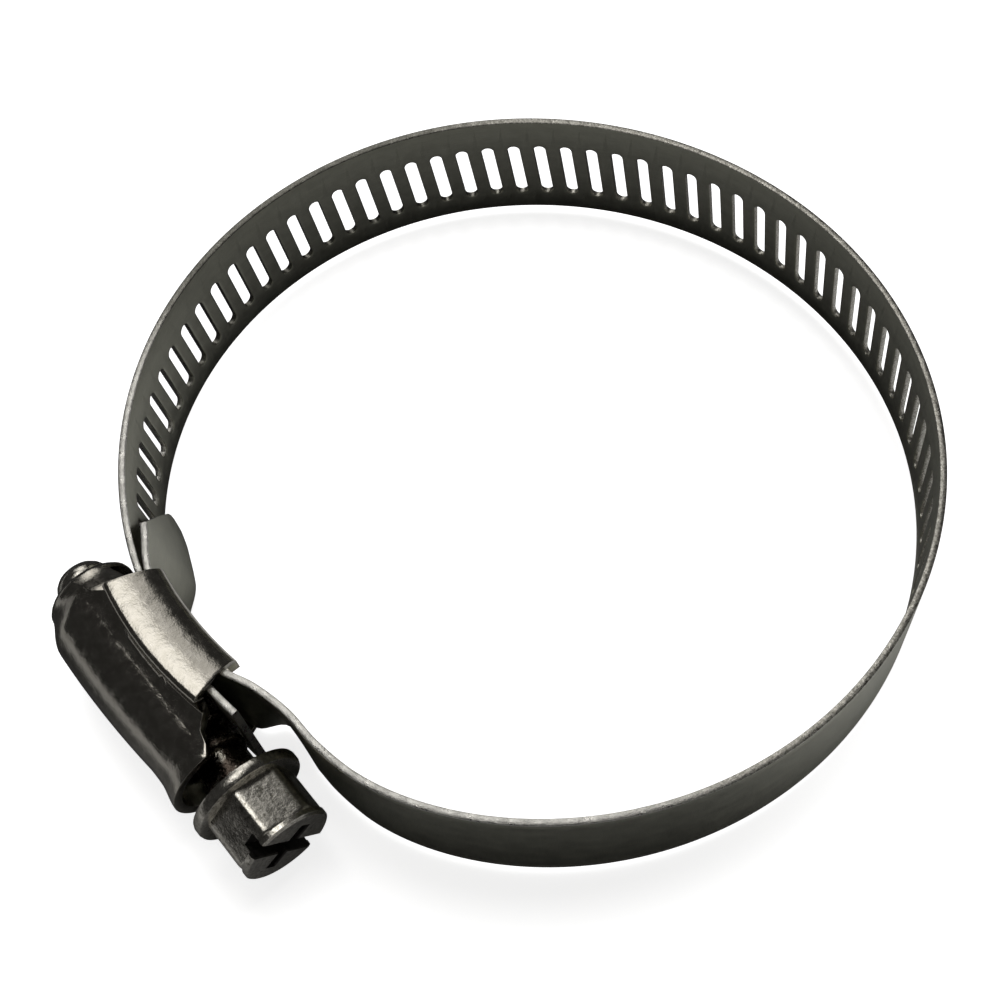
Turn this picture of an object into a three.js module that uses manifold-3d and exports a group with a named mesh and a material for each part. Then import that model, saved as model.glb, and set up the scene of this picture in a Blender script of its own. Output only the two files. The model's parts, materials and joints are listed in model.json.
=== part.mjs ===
// Worm-drive hose clamp with a perforated steel band, in millimetres, +Z up.
//
// The clamp lies flat: the ring's axis is +Z, the screw runs along X with its head towards +X, and the
// housing sits on the -Y side of the ring. The band starts at its fixed end in the housing, leaves on the
// head side, runs counterclockwise round the ring as seen from above, and comes back into the housing over
// its own fixed end. Beyond the fixed end the flexible strip is a chain of stiff links, hinged about Z.

import * as THREE from 'three';
import { mergeVertices } from 'three/addons/utils/BufferGeometryUtils.js';
import Module from 'manifold-3d';

const wasm = await Module();
wasm.setup();

// ---- Driving dimensions ----

// band strip
const BAND_WIDTH = 12.7;
const BAND_THICKNESS = 0.6;
const MID_HEIGHT = BAND_WIDTH / 2;

// ring: the radius of the strip's middle surface by angle from +X
const RING_RADIUS = 33.62;
const RING_OVALNESS = 0.8;
const RING_OVAL_ANGLE = 205.2;
const RING_LEAN = 0.3;
const RING_LEAN_ANGLE = 112.2;
const CHAIN_START_ANGLE = 295.6;
const FREE_TIP_ANGLE = 277 + 360;
const HEAD_FLATTENING = 0.85;
const HEAD_FLATTENING_SPREAD = 9.8;

// slots that the worm drives
const PITCH = 2.5;
const SLOT_COUNT = 58;
const SLOT_HEIGHT = 7.0;
const SLOT_WIDTH = 1.15;
const SLOT_MID_HEIGHT = 5.7;
const SLOT_SLANT = 4.6;
const TIP_LENGTH_PAST_LAST_SLOT = 1.5;

// fixed end: the tongue under the housing's closed end is cut at a slant, and both ends lean inwards
const TONGUE_SLANT = 7.5;
const TONGUE_END = -21.0;
const TONGUE_LEAN = 0.9;
const HEAD_LEAN = 1.3;

// links of the strip
const PLAIN_LINKS = 2;
const SLOTS_PER_LINK = 10;
const LINK_GAP = 0.3;

// screw
const SCREW_DISTANCE = 35.9;
const WORM_CREST_RADIUS = 2.9;
const WORM_ROOT_RADIUS = 2.1;
const WORM_CREST_WIDTH = 0.5;
const WORM_ROOT_WIDTH = 1.3;
const WORM_START = -13.4;
const WORM_END = 4.3;
const JOURNAL_RADIUS = 1.6;
const BUTTON_RADIUS = 2.35;
const BUTTON_END = -17.9;
const SHOULDER_RADIUS = 2.6;
const FLANGE_RADIUS = 4.7;
const FLANGE_START = 7.0;
const FLANGE_END = 8.1;
const HEX_ACROSS_FLATS = 7.0;
const HEX_TURN = 12;
const HEX_END = 12.5;
const HEAD_END = 13.0;
const HEAD_RIM_RADIUS = 3.8;
const DRIVE_SLOT_WIDTH = 1.35;
const DRIVE_SLOT_DEPTH = 1.45;
const DRIVE_SLOT_TURN = 33;
const CROSS_LENGTH = 4.8;
const CROSS_WIDTH = 1.0;
const CROSS_DEPTH = 1.8;

// housing
const WALL = 0.8;
const BARREL_RADIUS = 4.6;
const BARREL_BULGE = 0.4;
const BARREL_START = -15.0;
const BARREL_END = 4.9;
const BARREL_MOUTH_FLARE = 0.35;
const WING_START = -11.35;
const WING_END = 1.6;
const WING_TAPER = 0.2;
const WING_ARC_RADIUS = 33;
const WING_TOP = 7.25;
const WING_OUTER = 35.6;
const WING_INNER = 30.85;
const LIP_REACH = 4.2;
const END_HOLE_RADIUS = 1.95;

const radians = THREE.MathUtils.degToRad;

// ---- Closed solids from rings of points ----

// Skins a list of rings, each with the same number of points, into a closed solid with capped ends.
// The section is the outline of a ring as [right, up] pairs, seen from beyond the last ring.
function loft(rings, section) {
  const outline = section.map(([right, up]) => new THREE.Vector2(right, up));
  const turnedOver = THREE.ShapeUtils.isClockWise(outline);
  const ordered = turnedOver ? rings.map((ring) => [...ring].reverse()) : rings;
  const capShape = turnedOver ? outline.reverse() : outline;
  const size = capShape.length;
  const positions = ordered.flat().flatMap((p) => [p.x, p.y, p.z]);
  const triangles = [];
  for (let ring = 0; ring + 1 < rings.length; ring += 1) {
    for (let i = 0; i < size; i += 1) {
      const a = ring * size + i;
      const b = ring * size + ((i + 1) % size);
      triangles.push(a, b, b + size, a, b + size, a + size);
    }
  }
  const last = (rings.length - 1) * size;
  const cap = THREE.ShapeUtils.triangulateShape(capShape, []);
  for (const [a, b, c] of cap) {
    triangles.push(a, c, b, last + a, last + b, last + c);
  }
  const geometry = new THREE.BufferGeometry();
  geometry.setAttribute('position', new THREE.Float32BufferAttribute(positions, 3));
  geometry.setIndex(triangles);
  return geometry;
}

function solidOf(geometry) {
  const bare = geometry.clone();
  bare.deleteAttribute('normal');
  bare.deleteAttribute('uv');
  const merged = mergeVertices(bare, 1e-4);
  const mesh = new wasm.Mesh({
    numProp: 3,
    vertProperties: new Float32Array(merged.attributes.position.array),
    triVerts: new Uint32Array(merged.index.array),
  });
  return new wasm.Manifold(mesh);
}

function geometryOf(solid) {
  const mesh = solid.getMesh();
  const geometry = new THREE.BufferGeometry();
  geometry.setAttribute('position', new THREE.BufferAttribute(mesh.vertProperties, 3));
  geometry.setIndex(new THREE.BufferAttribute(mesh.triVerts, 1));
  return geometry;
}

// ---- The strip's path in plan ----

// The ring is flatter where it leaves the screw head, and this fades along it.
function ringRadius(angle) {
  const oval = RING_OVALNESS * Math.cos(2 * radians(angle - RING_OVAL_ANGLE));
  const lean = RING_LEAN * Math.cos(radians(angle - RING_LEAN_ANGLE));
  const flattened = HEAD_FLATTENING * Math.exp((CHAIN_START_ANGLE - angle) / HEAD_FLATTENING_SPREAD);
  return RING_RADIUS + oval - lean - flattened;
}

function ringPoint(angle) {
  const radius = ringRadius(angle);
  return new THREE.Vector3(radius * Math.cos(radians(angle)), radius * Math.sin(radians(angle)), 0);
}

// The free part of the strip as a curve from the fixed end round to the free tip.
class StripPath extends THREE.Curve {
  getPoint(t) {
    return ringPoint(THREE.MathUtils.lerp(CHAIN_START_ANGLE, FREE_TIP_ANGLE, t));
  }
}

const path = new StripPath();
path.arcLengthDivisions = 2000;
const pathLength = path.getLength();

// The fixed end, from the tongue that shows under the housing's closed end to where the free ring starts.
const fixedEndPath = new THREE.CatmullRomCurve3(
  [
    [TONGUE_END, 26.2],
    [-18.0, 27.8],
    [-14.2, 29.4],
    [-10.4, 31.43],
    [-4.7, 32.35],
    [0.0, 32.0],
    [3.2, 30.75],
    [6.6, 30.0],
    [9.6, 29.88],
    [12.0, 29.55],
    [13.943, 29.102],
  ].map(([x, outward]) => new THREE.Vector3(x, -outward, 0)),
  false,
  'centripetal',
);

// A point of a strip that follows a curve: along it, up by height, and out of its middle surface by depth.
function stripPoint(curve, along, height, depth) {
  const onCurve = THREE.MathUtils.clamp(along, 0, 1);
  const centre = curve.getPointAt(onCurve);
  const tangent = curve.getTangentAt(onCurve);
  const outward = new THREE.Vector3(tangent.y, -tangent.x, 0).normalize();
  return centre.addScaledVector(outward, depth).setZ(height);
}

// ---- Band ----

const firstSlot = pathLength - TIP_LENGTH_PAST_LAST_SLOT - (SLOT_COUNT - 1) * PITCH;
const plainLength = firstSlot - PITCH / 2;
const linkStarts = [];
for (let i = 0; i < PLAIN_LINKS; i += 1) {
  linkStarts.push((plainLength * i) / PLAIN_LINKS);
}
for (let s = plainLength; s < pathLength; s += SLOTS_PER_LINK * PITCH) {
  linkStarts.push(s);
}

// A slanted slot with round ends, in the flat strip, as points along the strip and up it.
function slotOutline(centre) {
  const straight = (SLOT_HEIGHT - SLOT_WIDTH) / 2;
  const slant = radians(SLOT_SLANT);
  const corners = [];
  for (const end of [1, -1]) {
    for (const turn of [-90, -30, 30, 90]) {
      const across = (-end * SLOT_WIDTH * Math.sin(radians(turn))) / 2;
      const up = end * (straight + (SLOT_WIDTH * Math.cos(radians(turn))) / 2);
      const along = centre + across * Math.cos(slant) + up * Math.sin(slant);
      corners.push(new THREE.Vector2(along, SLOT_MID_HEIGHT + up * Math.cos(slant)));
    }
  }
  return corners;
}

// A stretch of the strip, laid out flat as cells one pitch long, each with its slot, then bent on the path.
function bentStrip(start, end) {
  const cells = Math.round((end - start) / PITCH);
  const slots = [...Array(SLOT_COUNT).keys()].map((i) => firstSlot + i * PITCH);
  const inner = -BAND_THICKNESS / 2;
  const outer = BAND_THICKNESS / 2;
  const corners = [];
  const addTriangle = (...points) => {
    for (const [flat, depth] of points) {
      const bent = stripPoint(path, flat.x / pathLength, flat.y, depth);
      corners.push(bent.x, bent.y, bent.z);
    }
  };
  const addWall = (from, to) => {
    addTriangle([from, inner], [to, inner], [to, outer]);
    addTriangle([from, inner], [to, outer], [from, outer]);
  };
  for (let i = 0; i < cells; i += 1) {
    const left = THREE.MathUtils.lerp(start, end, i / cells);
    const right = THREE.MathUtils.lerp(start, end, (i + 1) / cells);
    const outline = [
      new THREE.Vector2(left, 0),
      new THREE.Vector2(right, 0),
      new THREE.Vector2(right, BAND_WIDTH),
      new THREE.Vector2(left, BAND_WIDTH),
    ];
    const holes = slots.filter((slot) => slot > left && slot < right).map(slotOutline);
    const flat = [...outline, ...holes.flat()];
    for (const [a, b, c] of THREE.ShapeUtils.triangulateShape(outline, holes)) {
      addTriangle([flat[a], outer], [flat[b], outer], [flat[c], outer]);
      addTriangle([flat[a], inner], [flat[c], inner], [flat[b], inner]);
    }
    addWall(outline[0], outline[1]);
    addWall(outline[2], outline[3]);
    if (i === 0) {
      addWall(outline[3], outline[0]);
    }
    if (i === cells - 1) {
      addWall(outline[1], outline[2]);
    }
    for (const hole of holes) {
      const inOrder = THREE.ShapeUtils.isClockWise(hole) ? hole : [...hole].reverse();
      inOrder.forEach((corner, n) => addWall(corner, inOrder[(n + 1) % inOrder.length]));
    }
  }
  const geometry = new THREE.BufferGeometry();
  geometry.setAttribute('position', new THREE.Float32BufferAttribute(corners, 3));
  return mergeVertices(geometry, 1e-4);
}

// The fixed end leans, its lower edge further in, where it passes the screw head and along the tongue.
function fixedEndLean(x) {
  const tongue = 1 - THREE.MathUtils.smoothstep(x, -14, -10.4);
  const tongueTip = 1 - THREE.MathUtils.smoothstep(x, TONGUE_END, -17);
  const head = THREE.MathUtils.smoothstep(x, 0.9, 3);
  const pastHead = THREE.MathUtils.smoothstep(x, 3.5, 7.5);
  return TONGUE_LEAN * tongue * (1 - 0.7 * tongueTip) + HEAD_LEAN * head * (1 - pastHead);
}

function fixedEndGeometry() {
  const steps = 26;
  const length = fixedEndPath.getLength();
  const endGap = LINK_GAP / 2 / length;
  const rings = [];
  const section = [
    [1, 0],
    [1, 1],
    [-1, 1],
    [-1, 0],
  ];
  for (let i = 0; i <= steps; i += 1) {
    const along = (i / steps) * (1 - endGap);
    rings.push(
      section.map(([side, up]) => {
        const shift = (TONGUE_SLANT * up * Math.max(0, 1 - along / 0.35)) / length;
        const x = stripPoint(fixedEndPath, along + shift, 0, 0).x;
        const depth = (side * BAND_THICKNESS) / 2 - fixedEndLean(x) * (1 - up);
        return stripPoint(fixedEndPath, along + shift, up * BAND_WIDTH, depth);
      }),
    );
  }
  return loft(rings, section.map(([side, up]) => [-side, up]));
}

// ---- Screw, built along +Z ----

// A solid turned about Z from a profile of [radius, z] points.
function turned(profile, segments) {
  const points = profile.map(([radius, z]) => new THREE.Vector2(radius, z));
  return solidOf(new THREE.LatheGeometry(points, segments).rotateX(Math.PI / 2));
}

function wormThread(phase) {
  const stepsPerTurn = 20;
  const turns = (WORM_END - WORM_START) / PITCH;
  const steps = Math.round(turns * stepsPerTurn);
  const foot = WORM_ROOT_RADIUS - 0.3;
  const section = [
    [foot, -WORM_ROOT_WIDTH / 2],
    [WORM_CREST_RADIUS, -WORM_CREST_WIDTH / 2],
    [WORM_CREST_RADIUS, WORM_CREST_WIDTH / 2],
    [foot, WORM_ROOT_WIDTH / 2],
  ];
  const rings = [];
  for (let i = 0; i <= steps; i += 1) {
    const turn = (2 * Math.PI * i) / stepsPerTurn + phase;
    const z = WORM_START + (PITCH * i) / stepsPerTurn;
    // the thread runs in and out over a quarter of a turn at each end
    const fade = Math.min(1, (4 * i) / stepsPerTurn, (4 * (steps - i)) / stepsPerTurn);
    rings.push(
      section.map(([radius, across]) => {
        const reach = foot + (radius - foot) * Math.max(fade, 0.1);
        return new THREE.Vector3(reach * Math.cos(turn), reach * Math.sin(turn), z + across);
      }),
    );
  }
  return solidOf(loft(rings, section.map(([radius, z]) => [-radius, z])));
}

// The thread's crest stands in the middle of a slot on the side that faces the ring.
function wormPhase() {
  const slots = [...Array(SLOT_COUNT).keys()].map((i) => {
    return path.getPointAt((firstSlot + i * PITCH) / pathLength);
  });
  const middle = slots.filter((p) => p.y < 0 && Math.abs(p.x + 1.5) < PITCH / 2)[0];
  const turnsToMiddle = (middle.x - WORM_START) / PITCH;
  return Math.PI / 2 - 2 * Math.PI * turnsToMiddle;
}

function hexPrism(acrossFlats, turn, start, end) {
  const shape = new THREE.Shape();
  for (let i = 0; i < 6; i += 1) {
    const corner = radians(turn + 60 * i);
    const reach = acrossFlats / 2 / Math.cos(radians(30));
    const x = reach * Math.cos(corner);
    const y = reach * Math.sin(corner);
    if (i === 0) {
      shape.moveTo(x, y);
    } else {
      shape.lineTo(x, y);
    }
  }
  const prism = new THREE.ExtrudeGeometry(shape, { depth: end - start, bevelEnabled: false });
  return prism.translate(0, 0, start);
}

// A cutter for a slot in the head's end face: its length runs at an angle about the screw's axis.
function driveCutter(length, width, turn, depth) {
  const height = depth + 1;
  const cutter = new THREE.BoxGeometry(length, width, height);
  return solidOf(cutter.rotateZ(radians(turn)).translate(0, 0, HEAD_END - depth + height / 2));
}

function screwGeometry() {
  const shank = turned(
    [
      [0, BUTTON_END],
      [1.3, BUTTON_END + 0.25],
      [2.1, BUTTON_END + 0.8],
      [BUTTON_RADIUS, BUTTON_END + 1.4],
      [BUTTON_RADIUS, BARREL_START - 0.95],
      [JOURNAL_RADIUS, BARREL_START - 0.95],
      [JOURNAL_RADIUS, BARREL_START + 1.0],
      [WORM_ROOT_RADIUS, BARREL_START + 1.0],
      [WORM_ROOT_RADIUS, FLANGE_START - 1.0],
      [SHOULDER_RADIUS, FLANGE_START - 1.0],
      [SHOULDER_RADIUS, FLANGE_START],
      [FLANGE_RADIUS - 0.2, FLANGE_START],
      [FLANGE_RADIUS, FLANGE_START + 0.3],
      [FLANGE_RADIUS, FLANGE_END - 0.3],
      [FLANGE_RADIUS - 0.3, FLANGE_END],
      [0, FLANGE_END],
    ],
    32,
  );
  const hexBlank = turned(
    [
      [0, FLANGE_END - 1],
      [5, FLANGE_END - 1],
      [5, HEX_END - 0.9],
      [3.6, HEX_END],
      [0, HEX_END],
    ],
    32,
  );
  const hex = solidOf(hexPrism(HEX_ACROSS_FLATS, HEX_TURN, FLANGE_END - 0.4, HEX_END)).intersect(hexBlank);
  const rim = turned(
    [
      [0, HEX_END - 1],
      [3.2, HEX_END - 0.6],
      [HEAD_RIM_RADIUS, HEX_END],
      [HEAD_RIM_RADIUS, HEAD_END - 0.25],
      [HEAD_RIM_RADIUS - 0.25, HEAD_END],
      [0, HEAD_END],
    ],
    32,
  );
  const slot = driveCutter(10, DRIVE_SLOT_WIDTH, DRIVE_SLOT_TURN, DRIVE_SLOT_DEPTH);
  const cross = driveCutter(CROSS_LENGTH, CROSS_WIDTH, DRIVE_SLOT_TURN + 90, CROSS_DEPTH);
  const head = shank.add(hex).add(rim).subtract(slot).subtract(cross);
  return geometryOf(head.add(wormThread(wormPhase())));
}

// ---- Housing: one stamping, an arch over the screw with a wing folded round each rim of the band ----

function arc(centreOut, centreUp, radius, from, to, steps) {
  const points = [];
  for (let i = 0; i <= steps; i += 1) {
    const angle = radians(THREE.MathUtils.lerp(from, to, i / steps));
    points.push([centreOut + radius * Math.cos(angle), centreUp + radius * Math.sin(angle)]);
  }
  return points;
}

// A prism of a section given as [outward, up from mid-height] points, swept along X through the stations.
function sweepAlongX(sectionAt, stations, shorten = () => 1) {
  const centre = (stations[0] + stations[stations.length - 1]) / 2;
  const rings = stations.map((x) => {
    return sectionAt(x).map(([out, up]) => {
      const along = centre + (x - centre) * shorten(out);
      return new THREE.Vector3(along, -out, MID_HEIGHT + up);
    });
  });
  return solidOf(loft(rings, sectionAt(stations[0]).map(([out, up]) => [-out, up])));
}

function steps(from, to, count) {
  return [...Array(count + 1).keys()].map((i) => THREE.MathUtils.lerp(from, to, i / count));
}

function archSection(x) {
  const mouth = BARREL_MOUTH_FLARE * THREE.MathUtils.smoothstep(x, BARREL_END - 2.5, BARREL_END);
  const closing = 0.9 * (1 - THREE.MathUtils.smoothstep(x, BARREL_START, BARREL_START + 3));
  const fromFullest = (x + 7.5) / 8.5;
  const bulge = BARREL_BULGE * Math.max(0, 1 - fromFullest * fromFullest);
  const outer = BARREL_RADIUS + mouth - closing + bulge;
  const inner = outer - WALL;
  const foot = WING_OUTER - 0.6;
  return [
    [foot, -BARREL_RADIUS + WALL],
    [foot, -BARREL_RADIUS],
    ...arc(SCREW_DISTANCE, 0, outer, -90, 90, 18),
    [foot, BARREL_RADIUS],
    [foot, BARREL_RADIUS - WALL],
    ...arc(SCREW_DISTANCE, 0, inner, 90, -90, 18),
  ];
}

function wingBend(x) {
  const fromMiddle = x - (WING_START + WING_END) / 2;
  return -(fromMiddle * fromMiddle) / (2 * WING_ARC_RADIUS);
}

function wingSection(x) {
  const bend = wingBend(x);
  const outerFace = WING_OUTER + bend;
  const innerFace = WING_INNER + bend;
  const foot = BARREL_RADIUS - 0.5;
  const cornerOut = 0.9;
  const cornerIn = 1.2;
  return [
    [outerFace + 0.5, foot],
    [outerFace + 0.5, BARREL_RADIUS],
    [outerFace, BARREL_RADIUS + 0.3],
    ...arc(outerFace - cornerOut, WING_TOP - cornerOut, cornerOut, 0, 90, 4),
    ...arc(innerFace + cornerIn, WING_TOP - cornerIn, cornerIn, 90, 180, 5),
    [innerFace, LIP_REACH],
    [innerFace + WALL, LIP_REACH],
    ...arc(innerFace + cornerIn, WING_TOP - cornerIn, cornerIn - WALL, 180, 90, 4),
    ...arc(outerFace - cornerOut, WING_TOP - cornerOut, 0.1, 90, 0, 2),
    [outerFace - WALL, foot],
  ];
}

function mirrored(section) {
  return section.map(([out, up]) => [out, -up]).reverse();
}

function housingGeometry() {
  const archStations = [
    ...steps(BARREL_START, BARREL_START + 3, 5),
    ...steps(-10, 0, 4),
    ...steps(BARREL_END - 2.5, BARREL_END, 5),
  ];
  const arch = sweepAlongX(archSection, archStations);
  const wingStations = steps(WING_START, WING_END, 8);
  // a wing gets shorter from its root towards its lip
  const taper = (out) => 1 - (WING_TAPER * (WING_OUTER - out)) / (WING_OUTER - WING_INNER);
  const topWing = sweepAlongX(wingSection, wingStations, taper);
  const bottomWing = sweepAlongX((x) => mirrored(wingSection(x)), wingStations, taper);
  const wallRadius = BARREL_RADIUS - 0.9;
  const endWall = turned(
    [
      [END_HOLE_RADIUS, BARREL_START - 0.6],
      [wallRadius - 0.5, BARREL_START - 0.6],
      [wallRadius, BARREL_START - 0.1],
      [wallRadius, BARREL_START + 0.4],
      [END_HOLE_RADIUS, BARREL_START + 0.4],
      [END_HOLE_RADIUS, BARREL_START - 0.6],
    ],
    32,
  );
  const placedWall = endWall.rotate([0, 90, 0]).translate([0, -SCREW_DISTANCE, MID_HEIGHT]);
  return geometryOf(arch.add(topWing).add(bottomWing).add(placedWall));
}

// ---- Assembly ----

function steel(colour, roughness) {
  return new THREE.MeshStandardMaterial({ color: colour, roughness, metalness: 1 });
}

const bandSteel = steel(0x8c8d88, 0.45);
const housingSteel = steel(0xa5a197, 0.25);
const screwSteel = steel(0x98948a, 0.3);

function named(name, geometry, material) {
  const mesh = new THREE.Mesh(geometry, material);
  mesh.name = name;
  return mesh;
}

const clamp = new THREE.Group();
clamp.add(named('housing', housingGeometry(), housingSteel));
clamp.add(named('band_fixed_end', fixedEndGeometry(), bandSteel));

const screw = named('worm_screw', screwGeometry(), screwSteel);
screw.rotation.y = Math.PI / 2;
screw.position.set(0, -SCREW_DISTANCE, MID_HEIGHT);
clamp.add(screw);

// Each link hangs in the group of the link before it, and its group's origin is its hinge.
let holder = clamp;
let holderHinge = new THREE.Vector3();
linkStarts.forEach((start, i) => {
  const end = i + 1 < linkStarts.length ? linkStarts[i + 1] - LINK_GAP / 2 : pathLength;
  const hinge = path.getPointAt(start / pathLength);
  const group = new THREE.Group();
  group.position.subVectors(hinge, holderHinge);
  holder.add(group);
  const geometry = bentStrip(start + LINK_GAP / 2, end).translate(-hinge.x, -hinge.y, 0);
  const number = i < PLAIN_LINKS ? i + 1 : i + 1 - PLAIN_LINKS;
  const kind = i < PLAIN_LINKS ? 'plain' : 'perforated';
  group.add(named(`band_${kind}_${String(number).padStart(2, '0')}`, geometry, bandSteel));
  holder = group;
  holderHinge = hinge;
});

// The origin is the middle of the underside of the clamp's bounding box.
const bounds = new THREE.Box3().setFromObject(clamp);
const middle = bounds.getCenter(new THREE.Vector3());
clamp.position.set(-middle.x, -middle.y, -bounds.min.z);

export default clamp;
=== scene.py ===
"""Worm-drive hose clamp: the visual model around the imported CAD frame. Metres, +Z up.

The camera, the lights and the floor are in metres. Shapes are in millimetres and are turned into metres
when a mesh is made. Places come from the frame: the screw's joint gives the clamp's own origin, and the
band's joints say where each strip ends.
"""

import json
import math

import bmesh
import bpy
import numpy as np
from mathutils import Matrix, Vector


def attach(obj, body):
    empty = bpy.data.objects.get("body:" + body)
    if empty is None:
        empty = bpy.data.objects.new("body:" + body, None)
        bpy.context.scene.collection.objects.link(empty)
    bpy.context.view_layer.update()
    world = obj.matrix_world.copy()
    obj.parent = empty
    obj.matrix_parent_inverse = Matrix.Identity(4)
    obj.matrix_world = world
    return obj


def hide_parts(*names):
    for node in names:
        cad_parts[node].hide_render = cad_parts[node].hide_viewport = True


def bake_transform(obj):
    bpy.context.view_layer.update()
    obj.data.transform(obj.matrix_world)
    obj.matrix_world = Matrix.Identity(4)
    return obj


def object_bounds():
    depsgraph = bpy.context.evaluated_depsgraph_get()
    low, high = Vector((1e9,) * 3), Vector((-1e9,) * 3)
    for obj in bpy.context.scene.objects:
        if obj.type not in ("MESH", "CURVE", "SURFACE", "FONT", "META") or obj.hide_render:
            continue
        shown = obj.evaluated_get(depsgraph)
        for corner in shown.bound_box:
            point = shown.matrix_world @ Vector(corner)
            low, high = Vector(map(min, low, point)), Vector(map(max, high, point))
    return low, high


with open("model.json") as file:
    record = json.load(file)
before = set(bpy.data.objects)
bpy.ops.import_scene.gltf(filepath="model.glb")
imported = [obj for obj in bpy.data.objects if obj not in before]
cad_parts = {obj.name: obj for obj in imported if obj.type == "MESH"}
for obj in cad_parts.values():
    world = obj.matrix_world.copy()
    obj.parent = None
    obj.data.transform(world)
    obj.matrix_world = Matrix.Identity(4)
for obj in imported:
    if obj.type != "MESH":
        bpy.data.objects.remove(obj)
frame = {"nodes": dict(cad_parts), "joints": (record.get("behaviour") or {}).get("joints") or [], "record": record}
cad_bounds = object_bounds()

MM = 0.001

# ---- Dimensions that the CAD and the looks share, in millimetres ----

BAND_WIDTH = 12.7
BAND_THICKNESS = 0.6
RIM_ROUNDING = 0.11
PITCH = 2.5
SLOT_COUNT = 58
SLOT_HEIGHT = 7.0
SLOT_WIDTH = 1.15
SLOT_MID_HEIGHT = 5.7
SLOT_SLANT = math.radians(4.6)
TIP_PAST_LAST_SLOT = 1.5
SCREW_DISTANCE = 35.9

joints = {joint["name"]: joint for joint in frame["joints"]}
screw_at = Vector(joints["screw_turn"]["pos_m"]) / MM
ORIGIN = Vector((screw_at.x, screw_at.y + SCREW_DISTANCE, screw_at.z - BAND_WIDTH / 2))


def to_metres(points):
    """Points in the clamp's own frame, in millimetres, as points in the row frame, in metres."""
    return (np.asarray(points, float) + np.array(ORIGIN)) * MM


# ---- Camera and stage ----

CAMERA_AT = (0.05394, -0.03231, 0.12992)
CAMERA_RIGHT = Vector((0.65809, 0.75289, -0.00891))
CAMERA_UP = Vector((-0.66195, 0.58415, 0.46967))
CAMERA_BACK = Vector((0.35882, -0.30319, 0.88279))


def add_camera():
    data = bpy.data.cameras.new("camera")
    data.lens = 57.25
    data.sensor_width = 36
    data.shift_x = -0.12
    data.shift_y = -0.045
    data.clip_start = 0.005
    camera = bpy.data.objects.new("camera", data)
    axes = Matrix((CAMERA_RIGHT, CAMERA_UP, CAMERA_BACK)).transposed().to_4x4()
    camera.matrix_world = Matrix.Translation(CAMERA_AT) @ axes
    bpy.context.scene.collection.objects.link(camera)
    bpy.context.scene.camera = camera


class Nodes:
    """Short calls for building one node tree."""

    def __init__(self, tree):
        self.tree = tree
        tree.nodes.clear()

    def add(self, kind, inputs=(), **settings):
        node = self.tree.nodes.new(kind)
        for key, value in settings.items():
            setattr(node, key, value)
        for key, value in dict(inputs).items():
            if isinstance(value, bpy.types.NodeSocket):
                self.tree.links.new(value, node.inputs[key])
            else:
                node.inputs[key].default_value = value
        return node

    def math(self, operation, a, b=0.0, clamp=False):
        node = self.add("ShaderNodeMath", {0: a, 1: b}, operation=operation, use_clamp=clamp)
        return node.outputs[0]

    def range(self, value, low, high, out_low=0.0, out_high=1.0):
        """A smooth step between two values, which may be given either way round."""
        given = {"Value": value, "From Min": low, "From Max": high, "To Min": out_low, "To Max": out_high}
        return self.add("ShaderNodeMapRange", given, interpolation_type="SMOOTHSTEP").outputs[0]

    def mix(self, factor, a, b):
        node = self.add("ShaderNodeMix", data_type="RGBA")
        for index, value in ((0, factor), (6, a), (7, b)):
            if isinstance(value, bpy.types.NodeSocket):
                self.tree.links.new(value, node.inputs[index])
            else:
                node.inputs[index].default_value = value
        return node.outputs[2]

    def noise(self, vector, scale, detail=2.0, roughness=0.5):
        given = {"Vector": vector, "Scale": scale, "Detail": detail, "Roughness": roughness}
        return self.add("ShaderNodeTexNoise", given).outputs[0]

    def vector(self, operation, a, b=(0.0, 0.0, 0.0), output="Vector"):
        node = self.add("ShaderNodeVectorMath", {0: a, 1: b}, operation=operation)
        return node.outputs[output]

    def stretched(self, vector, scale):
        return self.vector("MULTIPLY", vector, scale)


def grey(value):
    return (value, value, value, 1)


def direction_patch(nodes, direction, towards, inner, outer):
    """1 within the inner angle of a direction, 0 past the outer one, in degrees."""
    cosine = nodes.vector("DOT_PRODUCT", direction, Vector(towards).normalized(), "Value")
    return nodes.range(cosine, math.cos(math.radians(outer)), math.cos(math.radians(inner)))


AMBIENT = 0.028


def studio_light(nodes):
    """A softbox above and a weaker one beside it, one low on the left and a faint one low on the right."""
    direction = nodes.add("ShaderNodeTexCoord").outputs["Generated"]
    softbox = direction_patch(nodes, direction, (-0.36, 0.08, 0.93), 8, 20)
    fill = direction_patch(nodes, direction, (-0.58, 0.4, 0.71), 8, 19)
    left = direction_patch(nodes, direction, (-0.85, 0.3, 0.45), 6, 20)
    right = direction_patch(nodes, direction, (0.9, 0.1, 0.35), 12, 40)
    light = nodes.math("MAXIMUM", nodes.math("MULTIPLY", softbox, 1.6), nodes.math("MULTIPLY", fill, 0.7))
    light = nodes.math("ADD", light, left)
    light = nodes.math("ADD", light, nodes.math("MULTIPLY", right, 0.25))
    return nodes.math("ADD", light, AMBIENT)


def add_world():
    """Dim light with four soft patches for everything but the camera, which sees plain white."""
    world = bpy.data.worlds.new("studio")
    world.use_nodes = True
    bpy.context.scene.world = world
    nodes = Nodes(world.node_tree)
    is_camera = nodes.add("ShaderNodeLightPath").outputs["Is Camera Ray"]
    given = {"Color": (1, 0.985, 0.955, 1), "Strength": studio_light(nodes)}
    studio = nodes.add("ShaderNodeBackground", given).outputs[0]
    white = nodes.add("ShaderNodeBackground", {"Color": (1, 1, 1, 1), "Strength": 1.0}).outputs[0]
    mixed = nodes.add("ShaderNodeMixShader", {0: is_camera, 1: studio, 2: white})
    nodes.add("ShaderNodeOutputWorld", {"Surface": mixed.outputs[0]})


FLOOR_GAP = 0.0001
FLOOR_HALF_SIZE = 1.2


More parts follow.
